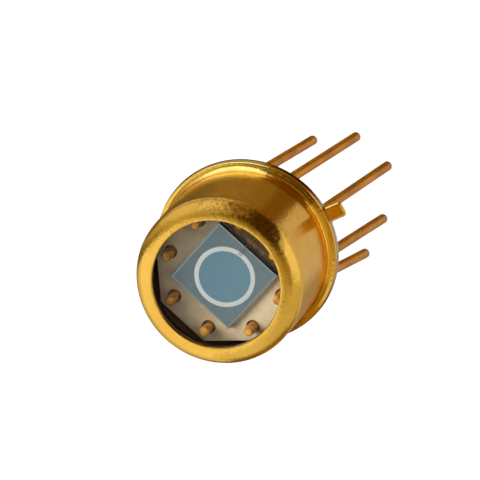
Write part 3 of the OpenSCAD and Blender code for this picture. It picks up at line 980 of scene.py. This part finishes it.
class PHOTODETECTOR_OT_stage(bpy.types.Operator):
    """Set up the floor, the lamps, the light tent and the camera"""

    bl_idname = "photodetector.stage"
    bl_label = "Stage"
    bl_options = {"REGISTER", "UNDO"}

    def away(self, side, height):
        """Direction from the can to a side, seen from the camera's side, and a height. Both are in degrees."""
        a, e = math.radians(side) + self.stage.azimuth, math.radians(height)
        return Vector((math.cos(e) * math.cos(a), math.cos(e) * math.sin(a), math.sin(e)))

    def lamp(self, name, side, height, width, radiance, mirrored):
        """A soft square lamp of a given surface brightness. The can's outside doesn't mirror it."""
        data = bpy.data.lights.new(name, "AREA")
        data.size = width
        data.energy = radiance * math.pi * width ** 2
        lamp = place_object(name, data)
        away = self.away(side, height)
        turn = away.to_track_quat("Z", "Y").to_matrix().to_4x4()
        lamp.matrix_world = Matrix.Translation(self.middle + away * self.stage.lamp_distance) @ turn
        lamp.visible_glossy = False
        lamp.visible_transmission = mirrored

    def card(self, name, low, high, shade):
        """A flat band of the light tent between two edges, close to the can."""
        edges = [(Vector((0, 0, height * MM)), reach * MM, 0.0, *sides) for reach, height, *sides in (low, high)]
        self.patch(name + "_card", edges, shade)

    def panel(self, name, low, high, sides, shade, reach):
        """A panel of the light tent: a patch of a sphere round the can."""
        steps = self.stage.panel_steps
        heights = spread(low, high, steps)
        firsts, lasts = (spread(a, b, steps) for a, b in zip(sides[:2], sides[-2:]))
        edges = [(self.middle, reach, *edge) for edge in zip(heights, firsts, lasts)]
        self.patch(name + "_panel", edges, shade)

    def patch(self, name, edges, shade):
        """A surface in a plain linear colour that only reflections show. Each edge is an arc round the can."""
        steps = self.stage.panel_steps
        corners = []
        for middle, reach, height, first, last in edges:
            corners += [middle + self.away(side, height) * reach for side in spread(first, last, steps)]
        row = steps + 1
        starts = [i * row + j for i in range(len(edges) - 1) for j in range(steps)]
        mesh = bpy.data.meshes.new(name)
        mesh.from_pydata(corners, [], [(k, k + 1, k + row + 1, k + row) for k in starts])
        panel = place_object(name, mesh)
        material, tree = new_material(name)
        tree.nodes.remove(tree.nodes["Principled BSDF"])
        glow = add_node(tree, "Emission", {"Color": (*shade, 1)})
        feed(tree, tree.nodes["Material Output"], {"Surface": glow.outputs[0]})
        mesh.materials.append(material)
        for ray in ("camera", "diffuse", "shadow", "transmission", "volume_scatter"):
            setattr(panel, "visible_" + ray, False)

    def floor(self, height):
        """A white floor that keeps a faint shadow."""
        stage = self.stage
        half = stage.floor_size / 2
        corners = [(-half, -half, height), (half, -half, height), (half, half, height), (-half, half, height)]
        mesh = bpy.data.meshes.new("floor")
        mesh.from_pydata(corners, [], [(0, 1, 2, 3)])
        floor = place_object("floor", mesh)
        material, tree = new_material("floor_white")
        shader = tree.nodes["Principled BSDF"]
        feed(tree, shader, {"Base Color": (*stage.floor, 1), "Roughness": stage.floor_rough})
        glow = add_node(tree, "Emission", {"Color": (1, 1, 1, 1), "Strength": stage.floor_white})
        rays = add_node(tree, "LightPath", {}).outputs
        seen = rays["Is Camera Ray"]
        for ray in ("Is Glossy Ray", "Is Transmission Ray"):
            seen = add_node(tree, "Math", {0: seen, 1: rays[ray]}, operation="MAXIMUM").outputs[0]
        share = add_node(tree, "Math", {0: seen, 1: stage.floor_share}, operation="MULTIPLY").outputs[0]
        mix = add_node(tree, "MixShader", {0: share, 1: shader.outputs[0], 2: glow.outputs[0]})
        feed(tree, tree.nodes["Material Output"], {"Surface": mix.outputs[0]})
        mesh.materials.append(material)
        floor.visible_glossy = False

    def camera(self):
        """A camera that sees the can as the photo does."""
        stage = self.stage
        scale = stage.pixels_per_mm / MM
        half = stage.image_size / 2
        column, row = stage.seat_pixel
        pose = Matrix.Translation(((half - column) / scale, (row - half) / scale, stage.distance))
        for turn, axis in ((-stage.roll, "Z"), (stage.tilt, "Y"), (stage.azimuth, "Z")):
            pose = Matrix.Rotation(turn, 4, axis) @ pose
        data = bpy.data.cameras.new("camera")
        data.sensor_width = SENSOR
        data.lens = scale * stage.distance * SENSOR / stage.image_size
        data.clip_start, data.clip_end = CLIP
        data.dof.use_dof = False
        camera = place_object("camera", data)
        camera.matrix_world = pose
        bpy.context.scene.camera = camera

    def execute(self, context):
        scene = bpy.context.scene
        self.stage = settings("stage")
        self.middle = Vector((0, 0, CAD_HIGH.z / 2))
        scene.view_settings.view_transform = "Standard"
        world = bpy.data.worlds.new("surroundings")
        world.use_nodes = True
        sky = world.node_tree.nodes["Background"]
        feed(world.node_tree, sky, {"Color": (*self.stage.world_tint, 1), "Strength": self.stage.world})
        scene.world = world
        self.floor(CAD_LOW.z - self.stage.floor_gap)
        for lamp in LAMPS:
            self.lamp(*lamp)
        for i, panel in enumerate(PANELS):
            self.panel(*panel, self.stage.tent_radius - i * self.stage.panel_gap)
        for card in CARDS:
            self.card(*card)
        self.camera()
        return {"FINISHED"}


OPERATORS = (
    PHOTODETECTOR_OT_cap,
    PHOTODETECTOR_OT_header,
    PHOTODETECTOR_OT_leads,
    PHOTODETECTOR_OT_seals,
    PHOTODETECTOR_OT_window,
    PHOTODETECTOR_OT_ceramics,
    PHOTODETECTOR_OT_chip,
    PHOTODETECTOR_OT_wires,
    PHOTODETECTOR_OT_stage,
)
GROUPS = {
    "photodetector_shape": PhotodetectorShape,
    "photodetector_leads": PhotodetectorLeads,
    "photodetector_finish": PhotodetectorFinish,
    "photodetector_stage": PhotodetectorStage,
}


class PHOTODETECTOR_PT_panel(bpy.types.Panel):
    """Lists the build steps in order"""

    bl_idname = "PHOTODETECTOR_PT_panel"
    bl_label = "Photodetector"
    bl_space_type = "VIEW_3D"
    bl_region_type = "UI"
    bl_category = "Photodetector"

    def draw(self, context):
        for step in OPERATORS:
            self.layout.operator(step.bl_idname)
        for name, group in GROUPS.items():
            box = self.layout.box()
            box.label(text=group.__doc__)
            for item in group.__annotations__:
                box.prop(getattr(context.scene, name), item)


def register():
    """Adds the settings, the steps and the panel."""
    for name, group in GROUPS.items():
        bpy.utils.register_class(group)
        setattr(bpy.types.Scene, name, PointerProperty(type=group))
    for item in (*OPERATORS, PHOTODETECTOR_PT_panel):
        bpy.utils.register_class(item)


def unregister():
    """Takes the panel, the steps and the settings away."""
    for item in (PHOTODETECTOR_PT_panel, *reversed(OPERATORS)):
        bpy.utils.unregister_class(item)
    for name, group in GROUPS.items():
        delattr(bpy.types.Scene, name)
        bpy.utils.unregister_class(group)


def main():
    """Builds every piece and the stage."""
    register()
    for step in OPERATORS:
        name = step.bl_idname.split(".")[1]
        if getattr(bpy.ops.photodetector, name)() != {"FINISHED"}:
            raise RuntimeError("the step didn't finish: " + step.bl_label)


if __name__ == "__main__":
    main()
